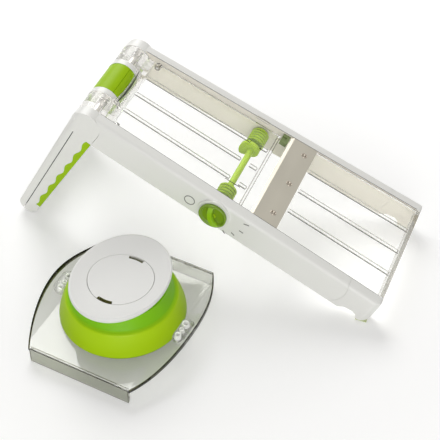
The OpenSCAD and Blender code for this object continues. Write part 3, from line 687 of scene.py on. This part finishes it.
def dial_height(x, y):
    """Height of the dial's outer face."""
    r = math.hypot(x, y)
    cup = CUP_FLOOR + rise(r, *CUP_WALL) - rise(r, *CUP_LIP)
    off_line = abs(math.hypot(x - BAR_X, y - BAR_Y) - BAR_R)
    low_end = max(0.0, (x * math.sin(BAR_AIM) - y * math.cos(BAR_AIM)) / DIAL_R)
    bar = 1.0 - step((off_line - BAR_HALF - BAR_SPREAD * low_end) / BAR_FLANK)
    crown = CROWN_TOP - CROWN_BOW * r * r - rise(r, *CROWN_END)
    return cup + (max(cup, crown) - cup) * bar


def dial_profile(phi):
    """The dial in section at one angle."""
    c, s = math.cos(phi), math.sin(phi)
    return [(r, dial_height(r * c, r * s)) for r in DIAL_RADII] + DIAL_UNDER


def make_dial():
    """Cupped dial with a curved grip bar across it."""
    bm = lathe(dial_profile, DIAL_SEGS, closed=False)
    bmesh.ops.remove_doubles(bm, verts=bm.verts, dist=WELD)
    place = across(DIAL_U, DIAL_V, SHAFT_W)
    ob = put("dial_knob", bm, [DIAL_SHADE_GREEN, DIAL_LIT_GREEN], "dial_shaft", ["dial"], place, 50)
    # above GRIP_FROM the faces take the lighter green, a painted highlight on the bar; the rest
    # keeps the darker green, painted shade
    second_material(ob, place, lambda x, y, z: z > GRIP_FROM)


make_dial()


# ---------------------------------------------------------------- cams
CAM_R, CAM_BORE, CAM_HUB, CAM_SEGS = 10.0, 3.52, 7.2, 96
RING_FOOT, RING_RISE, RING_BOW, RING_STEPS = CAM_R - 3.3, 3.25, 0.7, 12
# inside GROOVE_SHADE the cam takes the darker lime: painted shade in its grooves
GROOVE_R, GROOVE_SHADE = CAM_R - 3.5, CAM_R - 1.3


def make_cam(name, node, v0, length, ribs):
    """Ribbed roller on the dial's shaft, from v0 towards the far side."""
    prof = [(CAM_BORE, 0.0), (CAM_HUB, 0.0)]
    pitch = length / ribs
    for i in range(ribs):
        for k in range(1, RING_STEPS):
            t = k / RING_STEPS
            prof.append((RING_FOOT + RING_RISE * math.sin(PI * t) ** RING_BOW, (i + t) * pitch))
        if i < ribs - 1:
            prof.append((GROOVE_R, (i + 1) * pitch))
    prof += [(CAM_HUB, length), (CAM_BORE, length)]
    place = across(DIAL_U, v0, SHAFT_W, 1)
    ob = put(name, turned(prof, CAM_SEGS), [GREEN, LIME_SHADE], "dial_shaft", [node],
             place, 50)
    # faces deep in the grooves take the darker lime: painted shade
    second_material(ob, place, lambda x, y, z: math.hypot(x, y) < GROOVE_SHADE)


make_cam("cam_roller_near", "near_cam", v0=-58.5, length=25, ribs=6)
make_cam("cam_roller_far", "far_cam", v0=38.5, length=20, ribs=5)


# ---------------------------------------------------------------- blade
RIVET_U, RIVET_V, RIVET_SEGS = 226.3, 46.3, 56
RIVET_TOP = [(TINY, -1.7), (1.1, -1.5), (1.9, -0.5), (2.35, 0.25), (2.75, 0.42), (3.15, 0.28),
             (3.4, -0.14)]
RIVET_SHANK = [(2.0, -0.15), (1.98, -5.0), (TINY, -5.0)]


def make_rivets():
    """Pressed rivets: a low ring with a hollow in its middle."""
    prof = smooth_path(RIVET_TOP, 5) + RIVET_SHANK
    bm = bmesh.new()
    for v in (-RIVET_V, 0, RIVET_V):
        add_copy(bm, turned(prof, RIVET_SEGS), shift(RIVET_U, v, 0))
    bmesh.ops.remove_doubles(bm, verts=bm.verts, dist=WELD)
    put("pressed_rivets", bm, [RIVET], "frame", ["blade_rivets"], LAY, 50)


make_rivets()


# ---------------------------------------------------------------- leg: arms
# arm frame: on the barrel's axis, x roughly along the rails, z up the arm
LEAN = math.radians(6.9)
AXIS_U, AXIS_W, BARREL_R, END_R, LEG_S = 17.5, -16.6, 16.6, 11.3, 161.816
ARM = LAY @ shift(AXIS_U, 0, AXIS_W) @ turn(LEAN, "Y")
DOME = [(TINY, 1.1), (1.2, 1.0), (2.3, 0.6), (3.1, 0.0), (3.3, -0.8)]
DOME_X, DOME_V, DOME_Z, DOME_OUT, DOME_SEGS = -9.6, 59.5, -1.3, 7, 48
GRIP_TOP, GRIP_REST, WAVES, WAVE_STEPS = 18, 25, 6, 16
GRIP_DEEP, WAVE_HIGH, GRIP_EDGE = 5.6, 1.4, 0.7
GRIP_IN, GRIP_OUT = 54.65, 66.85
SPLIT_TOP, SPLIT_FOOT = (-7.05, -17.8), (-3.45, -164.0)
ARM_FACE, SPLIT_R = 65.5, 0.75


def make_arm_domes():
    """Small dome on the rounded corner at the top of each arm."""
    prof = smooth_path(DOME, 5) + [(TINY, -0.8)]
    for side, tag in SIDES:
        out = Vector((-0.72, side * 0.69, 0))
        bm = turned(prof, DOME_SEGS)
        bmesh.ops.remove_doubles(bm, verts=bm.verts, dist=WELD)
        at = shift(DOME_X + DOME_OUT * out.x, side * DOME_V + DOME_OUT * out.y, DOME_Z)
        look = out.to_track_quat("Z", "Y").to_matrix().to_4x4()
        put(f"arm_dome_{tag}", bm, [WHITE], "leg", (), ARM @ at @ look, 50)


def arm_edge(s):
    """Place of the arm's straight edge at s down the arm, as it grows thinner to its foot."""
    return BARREL_R - (BARREL_R - END_R) * s / LEG_S


def make_grips():
    """Lime grip strips with finger waves on one side."""
    pitch = (LEG_S - GRIP_REST) / WAVES
    foot = GRIP_TOP + WAVES * pitch
    outline = []
    for i in range(WAVES * WAVE_STEPS + 1):
        s = GRIP_TOP + i * pitch / WAVE_STEPS
        wave = WAVE_HIGH * math.sin(2 * PI * i / WAVE_STEPS)
        outline.append((arm_edge(s) - GRIP_DEEP - wave, -s))
    outline += [(arm_edge(foot), -foot), (arm_edge(GRIP_TOP), -GRIP_TOP)]
    for side, tag in SIDES:
        v0, v1 = sorted((side * GRIP_IN, side * GRIP_OUT))
        strip = slab(outline, v0, v1, GRIP_EDGE, segs=3)
        put(f"grip_{tag}", strip, [LIME], "leg", ["leg_grips"], ARM, 40)


def make_parting_lines():
    """Thin dark line in the parting groove on the outer face of each arm."""
    (x0, z0), (x1, z1) = SPLIT_TOP, SPLIT_FOOT
    for side, tag in SIDES:
        bm = bmesh.new()
        line = [(x0 + (x1 - x0) * t, side * ARM_FACE, z0 + (z1 - z0) * t) for t in (0, 0.5, 1)]
        tube(bm, line, SPLIT_R)
        put(f"parting_line_{tag}", bm, [DARK_RUBBER_AND_SHADOW], "leg", (), ARM, 60)


# ---------------------------------------------------------------- leg: band, and the painted shadow line on the hood
BAND_HALF, BAND_R, BAND_BORE, BAND_SEGS = 21.0, 16.4, 3.05, 240
# the band's rounded rim: inset from its radius, distance from its end
BAND_RIM = ((1.0, 0), (0.35, 0.1), (0.05, 0.6), (0, 1.4))
SEAM_AT, SEAM_HALF, SEAM_DEEP = 72, 0.8, 0.7            # degrees, degrees, mm
SEAM_FROM = 12.0                                        # the bore has no seam
HOOD_HALF, HOOD_STEPS, HOOD_BOW, HOOD_AHEAD = 27.6, 48, 160, 16
HOOD_WIDE, HOOD_FADE, HOOD_TIP, HOOD_R = 1.5, 28.2, 0.05, 18.9


def make_band():
    """Green band of the barrel: rounded rims and a lengthwise seam."""
    rim = [(BAND_R - inset, z - BAND_HALF) for inset, z in BAND_RIM]
    low = [(BAND_BORE, -BAND_HALF)] + rim
    z_rim = rim[-1][1]
    prof = smooth_path(low, 3)
    prof += [(BAND_R, z_rim - 2 * z_rim * i / 10) for i in range(1, 10)]
    prof += smooth_path([(r, -z) for r, z in reversed(low)], 3)
    bm = turned(prof, BAND_SEGS)
    for v in bm.verts:
        angle = math.degrees(math.atan2(v.co.y, v.co.x))
        r = math.hypot(v.co.x, v.co.y) / MM
        if r > SEAM_FROM and abs(angle - SEAM_AT) < SEAM_HALF:
            v.co.x *= 1 - SEAM_DEEP / r
            v.co.y *= 1 - SEAM_DEEP / r
    put("band", bm, [LIME], "leg", ["barrel_sleeve"], across(AXIS_U, 0, AXIS_W), 50)


def make_hood_gap_shadow():
    """Dark bowed line on the clear hood, widest in its middle: a painted shadow of the gap between
    the hood and the band.
    """
    bm = bmesh.new()
    rings = []
    for i in range(HOOD_STEPS + 1):
        v = HOOD_HALF * (2 * i / HOOD_STEPS - 1)
        wide = HOOD_WIDE * max(HOOD_TIP, 1 - (v / HOOD_FADE) ** 2) ** 0.6
        back = AXIS_U + HOOD_AHEAD - HOOD_BOW + math.sqrt(HOOD_BOW ** 2 - v * v)
        front = back - wide
        # its section as (place along the rails, height over the hood)
        section = ((back, 0), (back, 0.2), (front + 0.3, 0.3), (front, 0.2), (front, 0))
        ring = []
        for u, high in section:
            r, x = HOOD_R + high, u - AXIS_U
            ring.append((u, v, AXIS_W + math.sqrt(r * r - x * x)))
        rings.append(ring)
    rings_to_mesh(bm, rings, along=False)
    bm.verts.ensure_lookup_table()
    bm.faces.new(bm.verts[:len(section)])
    bm.faces.new(bm.verts[-len(section):])
    put("hood_gap_shadow", bm, [DARK_RUBBER_AND_SHADOW], "frame", (), LAY, 50)


# ---------------------------------------------------------------- painted shade on the edges of the clear plates
SPREAD, INNER_TOP, RIB_W, RIB_H = 13 / 366, 54.0, 4.4, 0.8
RIB_YAW = math.atan(SPREAD / 2)
RIB_HALF, RIB_CORNER, RIB_R = RIB_W / 2 - 0.15, 1.2, 0.5
LONG_RIB, RIB_STOP = 45, 40                 # a long rib's bead has one more ring, here
PIN_U, PIN_W, RAMP_LEN, RAMP_TOP = 44.0, -8.0, 151.1, 1.5
RAMP_REST = math.radians(0.754)             # tilt of the infeed ramp at rest
RAMP_RIBS = ((-2.5, 125.8), (137.2, 145.9))             # broken at the dial's shaft
OUT_RIB, OUT_RIB_W = (239.2, 360.5), -1.4
RAMP_SIDE, OUT_SIDE, RAIL_SIDE = (-3.5, 60, 146), (238, 300, 361), (26, 120, 240, 361)
SLOT_LIPS, SLOT_LIP_HALF = (RAMP_LEN - 3.1, RAMP_LEN - 0.4), 59.3
END_LIP_U, END_LIP_W, END_LIP_LONG, END_LIP_HALF = 361.6, -0.95, 4.2, 66.2


def inner_half(u):
    """Half the distance between the rails at u."""
    return INNER_TOP + u * SPREAD


def rib_bead(bm, x0, x1, lane, u_base, z):
    """A bead along one edge of a rib, round its low end and back along the other edge."""
    off = lane * inner_half(u_base) / 2
    c, s = math.cos(lane * RIB_YAW), math.sin(lane * RIB_YAW)
    run = [x0, x0 + RIB_STOP, x1 - RIB_CORNER] if x1 - x0 > LONG_RIB else [x0, x1 - RIB_CORNER]
    turn_y = RIB_HALF - RIB_CORNER
    loop = [(x, -RIB_HALF) for x in run] + [(x1, -turn_y), (x1, turn_y)]
    loop += [(x, RIB_HALF) for x in reversed(run)]
    tube(bm, [(x * c - y * s, off + x * s + y * c, z) for x, y in loop], RIB_R)


def side_beads(bm, places, gap, w, r, u_base=0):
    """A bead along each rail's inner face, at the height w; a gap below 0 is short of it."""
    for side in (-1, 1):
        tube(bm, [(u, side * (inner_half(u_base + u) + gap), w) for u in places], r)


def make_infeed_edge_shade():
    """Grey beads on the infeed ramp's ribs, sides and slot lips, a painted shade of its clear
    edges, in the ramp's own tilted frame.
    """
    bm = bmesh.new()
    for lane in (-1, 0, 1):
        for x0, x1 in RAMP_RIBS:
            rib_bead(bm, x0, x1, lane, PIN_U, RAMP_TOP + RIB_H + 0.1)
    side_beads(bm, RAMP_SIDE, gap=-1.0, w=RAMP_TOP + 0.25, r=0.4, u_base=PIN_U)
    for x in SLOT_LIPS:
        tube(bm, [(x, v, RAMP_TOP + 0.3) for v in (-SLOT_LIP_HALF, 0, SLOT_LIP_HALF)], 0.5)
    pivot = LAY @ shift(PIN_U, 0, PIN_W) @ turn(RAMP_REST, "Y")
    put("infeed_edge_shade", bm, [EDGE_SHADE_GREY], "ramp", (), pivot, 60)


def make_outfeed_edge_shade():
    """Grey beads on the outfeed ramp's ribs and sides, a painted shade of its clear edges."""
    bm = bmesh.new()
    for lane in (-1, 0, 1):
        rib_bead(bm, *OUT_RIB, lane, 0, OUT_RIB_W)
    side_beads(bm, OUT_SIDE, gap=-0.5, w=-2.05, r=0.4)
    put("outfeed_edge_shade", bm, [EDGE_SHADE_GREY], "frame", (), LAY, 60)


def make_rail_shade_lines():
    """Thin grey bead on top of each rail, close to its inner face: a painted shade of the gap
    between rail and ramp.
    """
    bm = bmesh.new()
    side_beads(bm, RAIL_SIDE, gap=0.35, w=-0.3, r=0.3)
    put("rail_shade_lines", bm, [GREY_PRINT_AND_SHADE], "frame", (), LAY, 60)


def make_end_lip():
    """Flat grey face on the outfeed ramp's thick end, a painted shade of that clear face."""
    u0, u1, w0, w1 = END_LIP_U, END_LIP_U + END_LIP_LONG, END_LIP_W, END_LIP_W + 0.35
    lip = slab([(u0, w0), (u0 + 0.1, w1), (u1 - 0.1, w1), (u1, w0)],
               -END_LIP_HALF, END_LIP_HALF, 0.05, segs=1)
    put("end_lip_shade", lip, [EDGE_SHADE_GREY], "frame", (), LAY, 60)


make_arm_domes()
make_infeed_edge_shade()
make_outfeed_edge_shade()
make_rail_shade_lines()
make_end_lip()
make_grips()
make_parting_lines()
make_band()
make_hood_gap_shadow()


# ---------------------------------------------------------------- camera
# from here on, places are in metres in the shared frame
CAMERA_AT = (0.18685, -0.83336, 0.99595)
CAMERA_WAY = (-0.26845, 0.64917, -0.71169)


def look(ob, way):
    """Point a camera or a lamp along a direction."""
    ob.rotation_mode = "QUATERNION"
    ob.rotation_quaternion = Vector(way).to_track_quat("-Z", "Y")


cam_data = bpy.data.cameras.new("camera")
cam_data.sensor_width = 36
cam_data.lens = 103.4
cam_data.clip_start = 0.05
cam_data.clip_end = 20
cam = new_object("camera", cam_data)
cam.location = CAMERA_AT
look(cam, CAMERA_WAY)
SC.camera = cam


# ---------------------------------------------------------------- stage and light
FLOOR_HALF = 3.0
FLOOR_TONE = (0.86, 0.86, 0.86, 1)
FLOOR_MID = (-0.2, 0, 0)
FLOOR_GLOW, GLOW_REACH = (0.24, 0.9), (0.2, 1.6)        # glow near and far, and from where
WORLD_TONE, SHOWN_TONE = (1.0, 0.985, 0.955, 1), (1.0, 1.0, 1.0, 1)
WORLD_LIGHT, SHOWN_LIGHT = 0.34, 1.0
LAMP_AIM = (-0.2, 0, 0.05)


def seen_white(nt):
    """1 where a ray shows the background: to the camera, in gloss or through clear plastic."""
    path = add(nt, "ShaderNodeLightPath")
    value = path.outputs["Is Camera Ray"]
    for kind in ("Is Transmission Ray", "Is Glossy Ray"):
        both = add(nt, "ShaderNodeMath", operation="MAXIMUM")
        nt.links.new(value, both.inputs[0])
        nt.links.new(path.outputs[kind], both.inputs[1])
        value = both.outputs[0]
    return value


def floor_material():
    """Pale matt floor; where it is seen it glows more with the distance, and fades to white."""
    m, nt, p = new_material("pale_floor")
    p.inputs["Roughness"].default_value = 0.8
    p.inputs["Specular IOR Level"].default_value = 0.1
    p.inputs["Base Color"].default_value = FLOOR_TONE
    tc = add(nt, "ShaderNodeTexCoord")
    away = add(nt, "ShaderNodeVectorMath", operation="DISTANCE")
    away.inputs[1].default_value = FLOOR_MID
    nt.links.new(tc.outputs["Object"], away.inputs[0])
    glow = add(nt, "ShaderNodeMath", operation="MULTIPLY")
    nt.links.new(seen_white(nt), glow.inputs[0])
    nt.links.new(span(nt, away.outputs["Value"], *FLOOR_GLOW, *GLOW_REACH), glow.inputs[1])
    p.inputs["Emission Color"].default_value = (1, 1, 1, 1)
    nt.links.new(glow.outputs[0], p.inputs["Emission Strength"])
    return m


def make_floor():
    """The floor that the slicer and its holder stand on."""
    bm = bmesh.new()
    bmesh.ops.create_grid(bm, x_segments=1, y_segments=1, size=FLOOR_HALF)
    me = bpy.data.meshes.new("floor")
    bm.to_mesh(me)
    bm.free()
    me.materials.append(floor_material())
    ob = new_object("floor", me)


def area(name, loc, size, watts):
    """Round lamp that looks at the middle of the scene."""
    d = bpy.data.lights.new(name, "AREA")
    d.shape = "DISK"
    d.size = size
    d.energy = watts
    ob = new_object(name, d)
    ob.location = loc
    look(ob, Vector(LAMP_AIM) - Vector(loc))


def make_world():
    """Soft warm light from all round, with white where the background itself is seen."""
    world = bpy.data.worlds.new("studio")
    SC.world = world
    world.use_nodes = True
    nt = world.node_tree
    bg = nt.nodes["Background"]
    shown = seen_white(nt)
    nt.links.new(two_tone(nt, shown, WORLD_TONE, SHOWN_TONE), bg.inputs["Color"])
    nt.links.new(span(nt, shown, WORLD_LIGHT, SHOWN_LIGHT, 0, 1), bg.inputs["Strength"])


make_floor()
area("key", (-0.9, 1.0, 1.3), size=1.22, watts=17.5)
area("fill", (0.5, -1.8, 0.7), size=1.6, watts=18)
make_world()
SC.view_settings.view_transform = "Standard"
